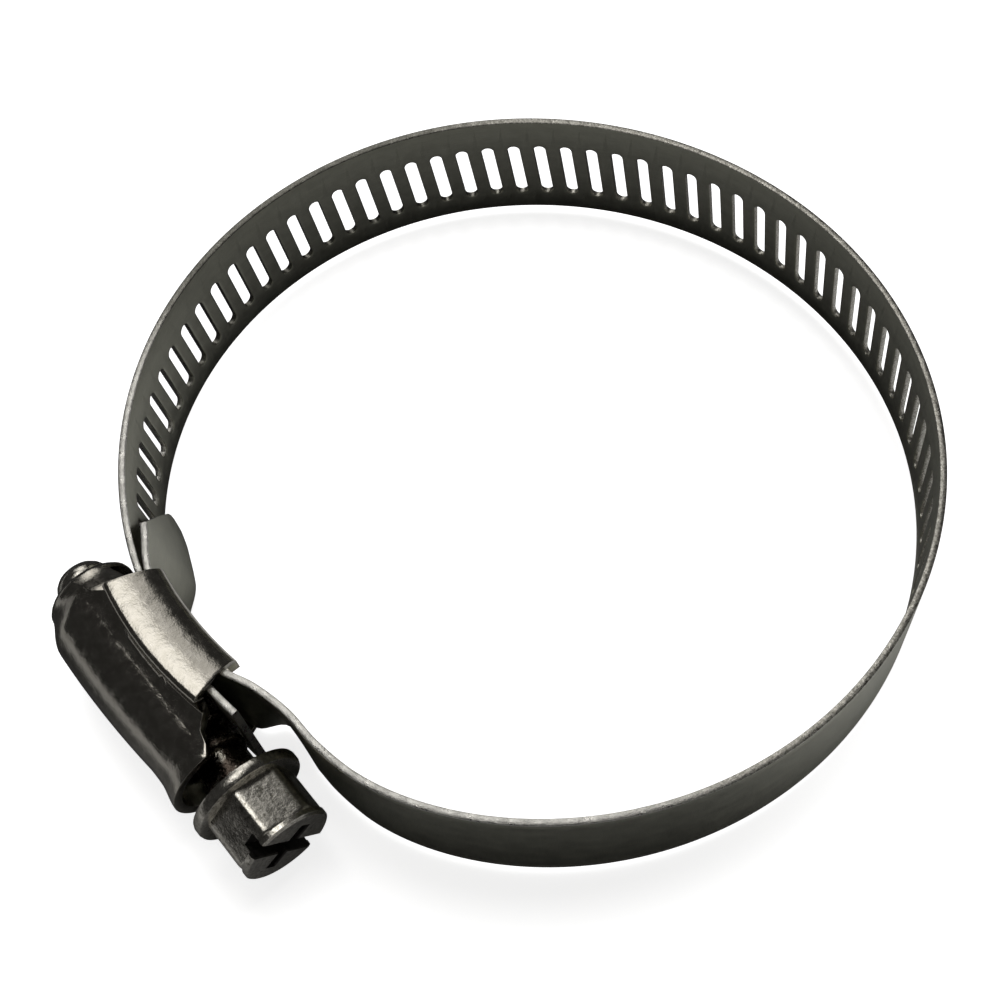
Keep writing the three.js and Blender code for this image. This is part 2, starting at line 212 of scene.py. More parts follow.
def reflected_floor(nodes):
    """The greys that mirror rays see in the floor, tuned so that the band's greys match the photograph.

    They are painted reflection greys and differ inside the ring, at its foot, outside it and past the screw; the
    dark grey at the ring's foot is a painted shade.
    """
    position = nodes.add("ShaderNodeTexCoord").outputs["Object"]
    ring_centre = (ORIGIN.x * MM, ORIGIN.y * MM, 0)
    apart = nodes.add("ShaderNodeSeparateXYZ", {0: position}).outputs
    outside = nodes.mix(nodes.range(apart["Y"], -0.012, 0.016), grey(0.2), grey(0.6))
    outside = nodes.mix(nodes.range(apart["X"], -0.02, 0.01), grey(0.045), outside)
    inside = nodes.mix(nodes.range(apart["Y"], 0.003, -0.012), grey(0.18), grey(0.66))
    plan = nodes.vector("MULTIPLY", nodes.vector("SUBTRACT", position, ring_centre), (1, 1, 0))
    from_centre = nodes.vector("LENGTH", plan, output="Value")
    # Painted shade: a dark grey at the ring's foot.
    inside = nodes.mix(nodes.range(from_centre, 0.0235, 0.0335), inside, grey(0.09))
    seen = nodes.mix(nodes.range(from_centre, 0.0333, 0.0338), inside, outside)
    return nodes.mix(nodes.range(apart["Y"], -0.048, -0.075), seen, grey(0.45))


def floor_material():
    material = bpy.data.materials.new("floor")
    material.use_nodes = True
    nodes = Nodes(material.node_tree)
    path = nodes.add("ShaderNodeLightPath").outputs
    colour = nodes.mix(path["Is Glossy Ray"], grey(0.9), reflected_floor(nodes))
    diffuse = nodes.add("ShaderNodeBsdfDiffuse", {"Color": colour}).outputs[0]
    lift = nodes.math("MULTIPLY", path["Is Camera Ray"], 0.8)
    glow = nodes.add("ShaderNodeEmission", {"Color": (1, 1, 1, 1), "Strength": lift}).outputs[0]
    both = nodes.add("ShaderNodeAddShader", {0: diffuse, 1: glow}).outputs[0]
    nodes.add("ShaderNodeOutputMaterial", {"Surface": both})
    material.cycles.emission_sampling = "NONE"
    return material


def add_floor():
    """A floor that is plain and pale to the camera. Mirror rays see the greys of reflected_floor instead."""
    size = FLOOR_HALF_SIZE
    corners = [(-size, -size, 0), (size, -size, 0), (size, size, 0), (-size, size, 0)]
    mesh = bpy.data.meshes.new("floor")
    mesh.from_pydata(corners, [], [(0, 1, 2, 3)])
    mesh.materials.append(floor_material())
    floor = bpy.data.objects.new("floor", mesh)
    floor.location.z = cad_bounds[0][2] - FLOOR_GAP
    bpy.context.scene.collection.objects.link(floor)


def add_lamp(name, at, towards, size, power):
    data = bpy.data.lights.new(name, "AREA")
    data.shape = "DISK"
    data.size = size
    data.energy = power
    lamp = bpy.data.objects.new(name, data)
    lamp.location = at
    aim = Vector(towards) - Vector(at)
    lamp.rotation_euler = aim.to_track_quat("-Z", "Y").to_euler()
    lamp.visible_glossy = False
    bpy.context.scene.collection.objects.link(lamp)


add_camera()
add_world()
add_floor()
add_lamp("key", (-0.15, 0.25, 0.6), (0, 0, 0), 0.5, 2.6)
bpy.context.scene.view_settings.view_transform = "Standard"


# ---- Materials ----

def steel(name, build):
    """A metal whose colour, roughness and bump height come from build(nodes)."""
    material = bpy.data.materials.new(name)
    material.use_nodes = True
    nodes = Nodes(material.node_tree)
    colour, roughness, height, depth = build(nodes)
    bump = nodes.add("ShaderNodeBump", {"Strength": 1.0, "Distance": depth, "Height": height})
    given = {"Base Color": colour, "Metallic": 1.0, "Roughness": roughness, "Normal": bump.outputs[0]}
    bsdf = nodes.add("ShaderNodeBsdfPrincipled", given)
    nodes.add("ShaderNodeOutputMaterial", {"Surface": bsdf.outputs[0]})
    return material


def band_face(nodes):
    """Satin strip: fine rolling lines along it, faint mottling, a few long scratches."""
    flat = nodes.add("ShaderNodeUVMap", uv_map="flat").outputs[0]
    lines = nodes.noise(nodes.stretched(flat, (0.35, 22, 1)), 1.0, 3)
    mottle = nodes.noise(nodes.stretched(flat, (0.5, 0.9, 1)), 1.0, 4, 0.6)
    grain = nodes.noise(nodes.stretched(flat, (9, 14, 1)), 1.0, 2)
    scratch = nodes.noise(nodes.stretched(flat, (0.8, 40, 1)), 1.0, 1)
    scratch = nodes.range(scratch, 0.7, 0.76)
    tone = nodes.math("ADD", nodes.math("MULTIPLY", mottle, 0.6), nodes.math("MULTIPLY", lines, 0.4))
    colour = nodes.mix(nodes.range(tone, 0.3, 0.7), (0.46, 0.46, 0.385, 1), (0.57, 0.57, 0.485, 1))
    colour = nodes.mix(scratch, colour, (0.66, 0.66, 0.63, 1))
    roughness = nodes.range(nodes.math("ADD", mottle, grain), 0.7, 1.3, 0.3, 0.46)
    height = nodes.math("ADD", nodes.math("MULTIPLY", lines, 0.7), nodes.math("MULTIPLY", grain, 0.6))
    return colour, roughness, height, 0.000012


def band_rim(nodes):
    """The sheared edge: coarse and sparkling.

    Its tone by place follows the photograph: a painted shade darkens it at the ring's -X side and a painted
    highlight lightens it at its -Y side.
    """
    flat = nodes.add("ShaderNodeTexCoord").outputs["Object"]
    coarse = nodes.noise(flat, 5200, 3, 0.7)
    patches = nodes.noise(flat, 1100, 2)
    colour = nodes.mix(nodes.range(coarse, 0.35, 0.65), (0.36, 0.35, 0.31, 1), (0.78, 0.76, 0.7, 1))
    apart = nodes.add("ShaderNodeSeparateXYZ", {0: flat}).outputs
    # Painted shade: the rim is darkened towards the ring's -X side.
    painted_shade = nodes.range(apart["X"], -0.024, -0.033, 0.0, 0.75)
    colour = nodes.mix(painted_shade, colour, (0.1, 0.1, 0.085, 1))
    # Painted highlight: the rim is lightened towards the ring's -Y side, except where the painted shade lies.
    painted_highlight = nodes.range(apart["Y"], 0.0, -0.015, 0.0, 0.7)
    painted_highlight = nodes.math("SUBTRACT", painted_highlight, painted_shade, clamp=True)
    colour = nodes.mix(painted_highlight, colour, (0.95, 0.94, 0.9, 1))
    roughness = nodes.range(patches, 0.3, 0.7, 0.26, 0.44)
    height = nodes.math("ADD", nodes.math("MULTIPLY", coarse, 0.6), patches)
    return colour, roughness, height, 0.00006


def housing_face(nodes):
    """Polished stamping with a slightly wavy, mottled skin and a few scratches along it."""
    place = nodes.add("ShaderNodeTexCoord").outputs["Object"]
    wavy = nodes.noise(place, 420, 2)
    mottle = nodes.noise(place, 1500, 4, 0.6)
    fine = nodes.noise(place, 6000, 2)
    scratch = nodes.noise(nodes.stretched(place, (500, 9000, 9000)), 1.0, 1)
    scratch = nodes.range(scratch, 0.68, 0.74)
    colour = nodes.mix(nodes.range(mottle, 0.3, 0.7), (0.5, 0.475, 0.42, 1), (0.64, 0.61, 0.55, 1))
    colour = nodes.mix(nodes.math("MULTIPLY", scratch, 0.5), colour, (0.75, 0.73, 0.68, 1))
    roughness = nodes.range(mottle, 0.3, 0.7, 0.1, 0.22)
    height = nodes.math("ADD", wavy, nodes.math("MULTIPLY", mottle, 0.35))
    height = nodes.math("ADD", height, nodes.math("MULTIPLY", fine, 0.06))
    return colour, roughness, height, 0.00007


def screw_face(nodes):
    """Bright plated screw with a rough, speckled skin and dark pits."""
    place = nodes.add("ShaderNodeTexCoord").outputs["Object"]
    speckle = nodes.noise(place, 3200, 3, 0.7)
    patches = nodes.noise(place, 700, 3)
    pits = nodes.range(nodes.noise(place, 2400, 2), 0.6, 0.72)
    colour = nodes.mix(nodes.range(speckle, 0.3, 0.7), (0.5, 0.48, 0.43, 1), (0.84, 0.81, 0.74, 1))
    colour = nodes.mix(nodes.math("MULTIPLY", pits, 0.7), colour, (0.2, 0.19, 0.15, 1))
    roughness = nodes.range(patches, 0.3, 0.7, 0.12, 0.26)
    height = nodes.math("ADD", nodes.math("MULTIPLY", speckle, 0.5), patches)
    return colour, roughness, height, 0.00004


def screw_recess(nodes):
    """The bottom of the drive slots: rough, and painted near-black as shade in the recess."""
    place = nodes.add("ShaderNodeTexCoord").outputs["Object"]
    recess_mottle = nodes.noise(place, 2600, 3)
    # Painted shade: near-black to dark grey in the drive slots.
    colour = nodes.mix(recess_mottle, (0.03, 0.03, 0.028, 1), (0.14, 0.13, 0.12, 1))
    return colour, nodes.range(recess_mottle, 0.3, 0.7, 0.45, 0.7), recess_mottle, 0.00005


def screw_in_painted_shade(nodes):
    """The worm inside the housing: painted dark as shade, with brighter patches."""
    place = nodes.add("ShaderNodeTexCoord").outputs["Object"]
    shade_patches = nodes.noise(place, 900, 4, 0.6)
    fine = nodes.noise(place, 4000, 2)
    # Painted shade: near-black, with brighter patches.
    colour = nodes.mix(nodes.range(shade_patches, 0.5, 0.68), (0.07, 0.055, 0.045, 1), (0.4, 0.38, 0.33, 1))
    return colour, nodes.range(fine, 0.3, 0.7, 0.14, 0.34), nodes.math("ADD", shade_patches, fine), 0.00005


BAND_FACE = steel("band_satin", band_face)
BAND_RIM = steel("band_sheared_edge", band_rim)
HOUSING_FACE = steel("housing_polished", housing_face)
SCREW_FACE = steel("screw_plated", screw_face)
SCREW_RECESS = steel("screw_recess", screw_recess)
SCREW_IN_PAINTED_SHADE = steel("screw_in_painted_shade", screw_in_painted_shade)


# ---- Mesh helpers ----

def make_piece(name, mesh, materials):
    for material in materials:
        mesh.materials.append(material)
    mesh.shade_smooth()
    mesh.set_sharp_from_angle(angle=math.radians(32))
    piece = bpy.data.objects.new(name, mesh)
    bpy.context.scene.collection.objects.link(piece)
    return piece


def with_modifiers(piece, *modifiers):
    """Applies modifiers given as (kind, settings) and keeps the result as the piece's own mesh."""
    for kind, settings in modifiers:
        modifier = piece.modifiers.new(kind.lower(), kind)
        for key, value in settings.items():
            setattr(modifier, key, value)
    bpy.context.view_layer.update()
    evaluated = piece.evaluated_get(bpy.context.evaluated_depsgraph_get())
    mesh = bpy.data.meshes.new_from_object(evaluated)
    piece.modifiers.clear()
    piece.data = mesh
    return piece


def closed_sheet(outer, inner):
    """A closed solid between two grids of points: faces out on the outer grid, closed round the border."""
    rows, columns = outer.shape[:2]
    points = np.concatenate([outer.reshape(-1, 3), inner.reshape(-1, 3)])
    offset = rows * columns
    faces = []
    for i in range(rows - 1):
        for j in range(columns - 1):
            a = i * columns + j
            quad = (a, a + 1, a + columns + 1, a + columns)
            faces.append(quad)
            faces.append(tuple(offset + k for k in reversed(quad)))
    border = list(range(columns))
    border += [i * columns + columns - 1 for i in range(1, rows)]
    border += [(rows - 1) * columns + j for j in range(columns - 2, -1, -1)]
    border += [i * columns for i in range(rows - 2, 0, -1)]
    for k, a in enumerate(border):
        b = border[(k + 1) % len(border)]
        faces.append((b, a, a + offset, b + offset))
    return points, faces


def mesh_from(name, points, faces):
    mesh = bpy.data.meshes.new(name)
    mesh.from_pydata([tuple(p) for p in to_metres(points)], [], faces)
    work = bmesh.new()
    work.from_mesh(mesh)
    bmesh.ops.remove_doubles(work, verts=work.verts, dist=1e-7)
    bmesh.ops.recalc_face_normals(work, faces=work.faces)
    work.to_mesh(mesh)
    work.free()
    return mesh


# ---- The strip's paths in plan ----

RING_RADIUS = 33.62
OVAL, OVAL_ANGLE = 0.8, 205.2
LEAN, LEAN_ANGLE = 0.3, 112.2
HEAD_FLATTENING, HEAD_FLATTENING_SPREAD = 0.85, 9.8
CHAIN_START_ANGLE = 295.6
FREE_TIP_ANGLE = 637.0


def ring_radius(angle):
    """The strip's middle surface: a slightly oval ring that is flattened where it leaves the housing."""
    oval = OVAL * np.cos(2 * np.radians(angle - OVAL_ANGLE))
    lean = LEAN * np.cos(np.radians(angle - LEAN_ANGLE))
    flattened = HEAD_FLATTENING * np.exp((CHAIN_START_ANGLE - angle) / HEAD_FLATTENING_SPREAD)
    return RING_RADIUS + oval - lean - flattened


def ring_plan(angle):
    return ring_radius(angle) * np.array([math.cos(math.radians(angle)), math.sin(math.radians(angle))])


_angles = np.linspace(CHAIN_START_ANGLE, FREE_TIP_ANGLE, 6001)
_ring = np.stack([ring_radius(_angles) * np.cos(np.radians(_angles)),
                  ring_radius(_angles) * np.sin(np.radians(_angles))], 1)
_lengths = np.concatenate([[0], np.cumsum(np.linalg.norm(np.diff(_ring, axis=0), axis=1))])
PATH_LENGTH = _lengths[-1]


def ring_point(along, height, depth):
    """A point of the bent strip: along its middle surface, up it, and outwards from it."""
    angle = np.interp(along, _lengths, _angles)
    here, there = ring_plan(angle), ring_plan(angle + 0.02)
    tangent = (there - here) / np.linalg.norm(there - here)
    beyond = along - float(np.clip(along, 0, PATH_LENGTH))
    out = np.array([tangent[1], -tangent[0]])
    return (*(here + out * depth + tangent * beyond), height)


# The fixed end in plan, as (along the screw, outwards), from the tongue's tip to the chain's start.
FIXED_END = [(-21.0, 26.2), (-18.0, 27.8), (-14.2, 29.4), (-10.4, 31.43), (-4.7, 32.35), (0.0, 32.0),
             (3.2, 30.75), (6.6, 30.0), (9.6, 29.88), (12.0, 29.55), (13.943, 29.102)]


def centripetal(points, beyond, per_span=60):
    """The centripetal Catmull-Rom curve through points, as dense points. It runs on towards one beyond."""
    p = [np.array(q, float) for q in points]
    p = [2 * p[0] - p[1]] + p + [np.array(beyond)]
    dense = []
    for a, b, c, d in zip(p, p[1:], p[2:], p[3:]):
        t0, t1, t2 = (np.linalg.norm(v - u) ** 0.5 for u, v in ((a, b), (b, c), (c, d)))
        m1 = ((b - a) / t0 - (c - a) / (t0 + t1) + (c - b) / t1) * t1
        m2 = ((c - b) / t1 - (d - b) / (t1 + t2) + (d - c) / t2) * t1
        for t in np.arange(per_span) / per_span:
            dense.append(b + m1 * t + (3 * (c - b) - 2 * m1 - m2) * t**2 + (2 * (b - c) + m1 + m2) * t**3)
    dense.append(p[-2])
    return np.array(dense)


_fixed = centripetal([(x, -out) for x, out in FIXED_END], ring_point(3.0, 0.0, 0.0)[:2])
_fixed_lengths = np.concatenate([[0], np.cumsum(np.linalg.norm(np.diff(_fixed, axis=0), axis=1))])
FIXED_LENGTH = _fixed_lengths[-1]
TONGUE_SLANT = 7.5
TONGUE_SLANT_SHARE = 0.35
TONGUE_CORNER = 2.4
TONGUE_CORNER_HEIGHT = 4.5
TONGUE_CORNER_LENGTH = 9


def smoothstep(value, low, high):
    t = np.clip((value - low) / (high - low), 0, 1)
    return t * t * (3 - 2 * t)


def fixed_end_lean(x):
    """How far the strap's lower rim is twisted inwards: at the tongue, and where it passes the head."""
    tongue = 1 - smoothstep(x, -14, -10.4)
    tongue_tip = 1 - smoothstep(x, -21, -17)
    head = smoothstep(x, 0.9, 3)
    past_head = smoothstep(x, 3.5, 7.5)
    return 0.9 * tongue * (1 - 0.7 * tongue_tip) + 1.3 * head * (1 - past_head)


def fixed_point(along, height, depth):
    """A point of the fixed strap. The tongue's tip is cut at a slant and its low corner is rounded."""
    up = height / BAND_WIDTH
    shifted = along + TONGUE_SLANT * up * max(0.0, 1 - along / FIXED_LENGTH / TONGUE_SLANT_SHARE)
    low = max(0.0, 1 - height / TONGUE_CORNER_HEIGHT) ** 2
    shifted += TONGUE_CORNER * low * max(0.0, 1 - along / TONGUE_CORNER_LENGTH)
    at = [np.interp(shifted, _fixed_lengths, _fixed[:, k]) for k in (0, 1)]
    near = [np.interp(shifted + 0.25, _fixed_lengths, _fixed[:, k]) for k in (0, 1)]
    far = [np.interp(shifted - 0.25, _fixed_lengths, _fixed[:, k]) for k in (0, 1)]
    tangent = np.array(near) - np.array(far)
    tangent /= np.linalg.norm(tangent)
    leaned = depth - fixed_end_lean(at[0]) * (1 - up)
    return (at[0] + tangent[1] * leaned, at[1] - tangent[0] * leaned, height)


# ---- Strips, drawn flat as (along, height, depth) and then bent ----

HALF = BAND_THICKNESS / 2
FACE, RIM = 0, 1
SIDE_HEIGHTS = [RIM_ROUNDING, 1.1, 2.0, 3.0, 4.2, 5.7, 7.2, 8.4, 9.4, 10.5, 11.6, BAND_WIDTH - RIM_ROUNDING]


class FlatStrip:
    """Collects polygons whose corners are (along, height, depth), and bends them into one mesh."""

    def __init__(self):
        self.index = {}
        self.points = []
        self.faces = []
        self.kinds = []

    def corner(self, point):
        key = tuple(round(value, 5) for value in point)
        if key not in self.index:
            self.index[key] = len(self.points)
            self.points.append(point)
        return self.index[key]

    def polygon(self, corners, kind=FACE):
        ids = [self.corner(c) for c in corners]
        if len(set(ids)) > 2:
            self.faces.append(list(dict.fromkeys(ids)))
            self.kinds.append(kind)

    def both_faces(self, quad):
        """One flat quad on the inner face and on the outer face."""
        self.polygon([(*q, HALF) for q in quad])
        self.polygon([(*q, -HALF) for q in reversed(quad)])

    def rims(self, left, right):
        """The rounded sheared rims over one step along the strip."""
        for height, sign in ((BAND_WIDTH, 1), (0.0, -1)):
            profile = rim_profile(height, sign)
            for a, b in zip(profile, profile[1:]):
                quad = [(left, *a), (right, *a), (right, *b), (left, *b)]
                self.polygon(quad, RIM)

    def cap(self, along):
        low, high = rim_profile(0.0, -1), rim_profile(BAND_WIDTH, 1)
        loop = [(h, HALF) for h in SIDE_HEIGHTS] + list(reversed(high))[1:-1]
        loop += [(h, -HALF) for h in reversed(SIDE_HEIGHTS)] + low[1:-1]
        self.polygon([(along, h, d) for h, d in loop], RIM)

    def mesh(self, name, bend, texture_start=0.0):
        bent = [bend(*point) for point in self.points]
        mesh = bpy.data.meshes.new(name)
        mesh.from_pydata([tuple(p) for p in to_metres(bent)], [], self.faces)
        mesh.polygons.foreach_set("material_index", self.kinds)
        flat = mesh.uv_layers.new(name="flat")
        for loop in mesh.loops:
            along, height, depth = self.points[loop.vertex_index]
            flat.data[loop.index].uv = (texture_start + along, height + depth)
        work = bmesh.new()
        work.from_mesh(mesh)
        bmesh.ops.recalc_face_normals(work, faces=work.faces)
        work.to_mesh(mesh)
        work.free()
        return mesh


def rim_profile(height, sign):
    """The rim from the inner face to the outer face, as (height, depth)."""
    middle = RIM_ROUNDING * 0.3
    below = height - sign * RIM_ROUNDING
    near = height - sign * middle
    return [(below, -HALF), (near, -HALF + middle), (height, -HALF + RIM_ROUNDING), (height, 0.0),
            (height, HALF - RIM_ROUNDING), (near, HALF - middle), (below, HALF)]


def plain_cell(strip, left, right):
    for low, high in zip(SIDE_HEIGHTS, SIDE_HEIGHTS[1:]):
        strip.both_faces([(left, low), (right, low), (right, high), (left, high)])
    strip.rims(left, right)


END_STEPS = 9
SLOT_BEVEL = 0.09
SLOT_BEVEL_MIDDLE = 0.026


def slot_loop(centre, grow):
    """The slot's outline, grown outwards: up its left side, over its top, down its right side, under."""
    radius = SLOT_WIDTH / 2 + grow
    straight = (SLOT_HEIGHT - SLOT_WIDTH) / 2
    count = len(SIDE_HEIGHTS)
    points = [(-radius, straight * (2 * j / (count - 1) - 1)) for j in range(count)]
    for k in range(1, END_STEPS):
        turn = math.pi * (1 - k / END_STEPS)
        points.append((radius * math.cos(turn), straight + radius * math.sin(turn)))
    points += [(-across, -up) for across, up in points]
    slant = (math.sin(SLOT_SLANT), math.cos(SLOT_SLANT))
    return [(centre + across * slant[1] + up * slant[0],
             SLOT_MID_HEIGHT + up * slant[1] - across * slant[0]) for across, up in points]


def slot_cell(strip, left, right, centre):
    """One pitch of the strip with its punched slot, whose edges are rounded on both faces."""
    top = np.linspace(left, right, END_STEPS + 1)
    border = [(left, h) for h in SIDE_HEIGHTS] + [(s, SIDE_HEIGHTS[-1]) for s in top[1:-1]]
    border += [(right, h) for h in reversed(SIDE_HEIGHTS)] + [(s, SIDE_HEIGHTS[0]) for s in top[-2:0:-1]]
    near, edge = slot_loop(centre, 0.3), slot_loop(centre, SLOT_BEVEL)
    bevel, wall = slot_loop(centre, SLOT_BEVEL_MIDDLE), slot_loop(centre, 0.0)
    levels = [(edge, HALF), (bevel, HALF - SLOT_BEVEL_MIDDLE), (wall, HALF - SLOT_BEVEL)]
    levels += [(loop, -depth) for loop, depth in reversed(levels)]
    size = len(border)
    for k in range(size):
        n = (k + 1) % size
        strip.both_faces([border[k], near[k], near[n], border[n]])
        strip.both_faces([near[k], edge[k], edge[n], near[n]])
        for (a, depth_a), (b, depth_b) in zip(levels, levels[1:]):
            quad = [(*a[k], depth_a), (*a[n], depth_a), (*b[n], depth_b), (*b[k], depth_b)]
            strip.polygon(quad, RIM if abs(depth_a) + abs(depth_b) < HALF * 1.5 else FACE)
    for s0, s1 in zip(top, top[1:]):
        strip.rims(s0, s1)


PLAIN_STEP = 0.6
FIRST_SLOT = PATH_LENGTH - TIP_PAST_LAST_SLOT - (SLOT_COUNT - 1) * PITCH
PLAIN_LENGTH = FIRST_SLOT - PITCH / 2


def strip_between(start, end):
    """The flat strip from one place along it to another, plain or perforated."""
    strip = FlatStrip()
    plain_end = min(end, PLAIN_LENGTH)
    if start < plain_end:
        cells = max(1, round((plain_end - start) / PLAIN_STEP))
        step = (plain_end - start) / cells
        for i in range(cells):
            plain_cell(strip, start + i * step, start + (i + 1) * step)
    for i in range(SLOT_COUNT):
        centre = FIRST_SLOT + i * PITCH
        if start < centre < end:
            right = end if i == SLOT_COUNT - 1 else centre + PITCH / 2
            slot_cell(strip, centre - PITCH / 2, right, centre)
    strip.cap(start)
    strip.cap(end)
    return strip


def hinge_along(joint):
    """Where a hinge of the band is along the strip."""
    place = Vector(joint["pos_m"]) / MM - ORIGIN
    angle = math.degrees(math.atan2(place.y, place.x)) % 360
    if angle < CHAIN_START_ANGLE - 1:
        angle += 360
    return float(np.interp(angle, _angles, _lengths))


def on_cell(along):
    """The nearest place where the strip can be divided."""
    if along < PLAIN_LENGTH:
        return along
    return PLAIN_LENGTH + round((along - PLAIN_LENGTH) / PITCH) * PITCH


def add_band():
    """The strip in pieces that run from mid-link to mid-link."""
    hinges = [joints[name] for name in sorted(joints) if name.startswith("band_flex")]
    starts = [hinge_along(joint) for joint in hinges]
    ends = starts[1:] + [PATH_LENGTH]
    middles = [on_cell((a + b) / 2) for a, b in zip(starts, ends)]
    left = 0.0
    links = frame["record"]["behaviour"]["bodies"]
    for i, joint in enumerate(hinges):
        right = middles[i] if joint is not hinges[-1] else PATH_LENGTH
        strip = strip_between(left, right)
        name = f"band_strip_{i + 1:02d}"
        piece = make_piece(name, strip.mesh(name, ring_point), [BAND_FACE, BAND_RIM])
        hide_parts(*links[joint["child"]])
        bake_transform(piece)
        left = right


FIXED_CELLS = 110


def add_fixed_end():
    strip = FlatStrip()
    for i in range(FIXED_CELLS):
        plain_cell(strip, FIXED_LENGTH * i / FIXED_CELLS, FIXED_LENGTH * (i + 1) / FIXED_CELLS)
    strip.cap(0.0)
    strip.cap(FIXED_LENGTH)
    mesh = strip.mesh("band_fixed_strap", fixed_point, -FIXED_LENGTH)
    piece = make_piece("band_fixed_strap", mesh, [BAND_FACE, BAND_RIM])
    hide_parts("band_fixed_end")
    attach(piece, "root")


# ---- Housing ----

WALL = 0.8
HOOD_WALL = 0.6
BARREL_RADIUS = 4.6
BARREL_START, BARREL_END = -15.0, 4.9
WING_START, WING_END = -11.35, 1.6
WING_MIDDLE = (WING_START + WING_END) / 2
WING_TOP = 7.25
WING_OUTER, WING_INNER = 35.6, 30.85
LIP_REACH = 4.2
WING_CORNER = 0.5
CROWN_WIDTH = 4.2
CROWN_DROP = 1.8
BAND_CLEARANCE = 6.42
RING_RADIUS_AT_WINGS = 33.0


def barrel_radius(x):
    mouth = 0.35 * smoothstep(x, BARREL_END - 2.5, BARREL_END)
    closing = 0.9 * (1 - smoothstep(x, BARREL_START, BARREL_START + 3))
    from_fullest = (x + 7.5) / 8.5
    return BARREL_RADIUS + mouth - closing + 0.4 * max(0.0, 1 - from_fullest**2)


def half_section(x):
    """The outer skin above mid-height at a station along the screw, as (outwards, up, share).

    It starts at the barrel's outermost line and ends at the lip inside the ring. The share says how far the
    column is from the barrel (0) to the wing (1), which sets how long it is.
    """
    bend = -((x - WING_MIDDLE) ** 2) / (2 * RING_RADIUS_AT_WINGS)
    outer, inner = WING_OUTER + bend, WING_INNER + bend
    radius = barrel_radius(x)
    points = []
    for angle in np.linspace(0, 82, 22):
        turn = math.radians(angle)
        points.append((SCREW_DISTANCE + radius * math.cos(turn), radius * math.sin(turn), 0.0))
    groove = max(outer, SCREW_DISTANCE - 0.3) + 0.18
    points.append((groove + 0.3, radius + 0.02, 0.25))
    points.append((groove + 0.05, radius + 0.16, 0.6))
    points.append((outer, radius + 0.45, 0.9))
    corner = WING_CORNER
    for up in (0.35, 0.7):
        points.append((outer, radius + 0.45 + up * (WING_TOP - corner - radius - 0.45), 1.0))
    for angle in np.linspace(0, 90, 7):
        turn = math.radians(angle)
        across, up = corner * (1 - math.cos(turn)), corner * (1 - math.sin(turn))
        points.append((outer - across, WING_TOP - up, 1.0))
    for angle in np.linspace(90, 180, 17)[1:]:
        turn = math.radians(angle)
        across, up = CROWN_WIDTH * (1 + math.cos(turn)), CROWN_DROP * (1 - math.sin(turn))
        points.append((inner + across, WING_TOP - up, 1.0))
    for up in np.linspace(WING_TOP - CROWN_DROP, LIP_REACH, 4)[1:]:
        points.append((inner, up, 1.0))
    return points


def offset_inwards(points, distance):
    """A section moved inwards by a distance, square to its own line, and kept clear of the band's rim."""
    moved = []
    for k in range(len(points)):
        before, after = points[max(k - 1, 0)], points[min(k + 1, len(points) - 1)]
        tangent = np.array(after) - np.array(before)
        tangent /= np.linalg.norm(tangent)
        place = np.array(points[k]) + distance * np.array([-tangent[1], tangent[0]])
        if points[k][1] > WING_TOP - 0.6 and place[0] > 31.4:
            place[1] = max(place[1], BAND_CLEARANCE)
        moved.append(place)
    return moved


def column_ends(share, outwards):
    """Where a column of the sheet starts and ends. The wing narrows a little towards its lip."""
    start = BARREL_START + (WING_START - BARREL_START) * share
    end = BARREL_END + (WING_END - BARREL_END) * share
    taper = 1 - 0.2 * max(0.0, WING_OUTER - outwards) / (WING_OUTER - WING_INNER)
    if share == 1.0:
        start = WING_MIDDLE + (start - WING_MIDDLE) * taper
        end = WING_MIDDLE + (end - WING_MIDDLE) * taper
    return start, end


def housing_point_pair(column, share, outwards, t):
    """The outer and inner points of the sheet in one column, a share t of the way along it."""
    start, end = column_ends(share, outwards)
    x = start + (end - start) * t
    section = half_section(x)
    flat = [point[:2] for point in section]
    inner = offset_inwards(flat, WALL)[column]
    outer = flat[column]
    return (x, *outer), (x, *inner)


def mirrored(points, sign):
    """Points given as (x, outwards, up) from mid-height, above it or below it."""
    return [(x, -outwards, BAND_WIDTH / 2 + sign * up) for x, outwards, up in points]


def whole_section(half):
    """The columns of the upper half, with the lower half's columns before them."""
    lower = [mirrored(column, -1) for column in half[1:]]
    return np.array(lower[::-1] + [mirrored(column, 1) for column in half])


def add_housing_sheet():
    stretches = (np.linspace(0, 0.2, 14), np.linspace(0.2, 0.8, 20)[1:], np.linspace(0.8, 1, 10)[1:])
    rows = np.concatenate(stretches)
    outer_half, inner_half = [], []
    for column, (outwards, _, share) in enumerate(half_section(WING_MIDDLE)):
        pairs = [housing_point_pair(column, share, outwards, t) for t in rows]
        outer_half.append([pair[0] for pair in pairs])
        inner_half.append([pair[1] for pair in pairs])
    points, faces = closed_sheet(whole_section(outer_half), whole_section(inner_half))
    sheet = make_piece("housing_sheet", mesh_from("housing_sheet", points, faces), [HOUSING_FACE])
    bevel = {"width": 0.16 * MM, "segments": 3, "limit_method": "ANGLE", "angle_limit": math.radians(50)}
    with_modifiers(sheet, ("BEVEL", bevel))
    sheet.data.shade_smooth()
    sheet.data.set_sharp_from_angle(angle=math.radians(45))
    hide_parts("housing")
    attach(sheet, "root")


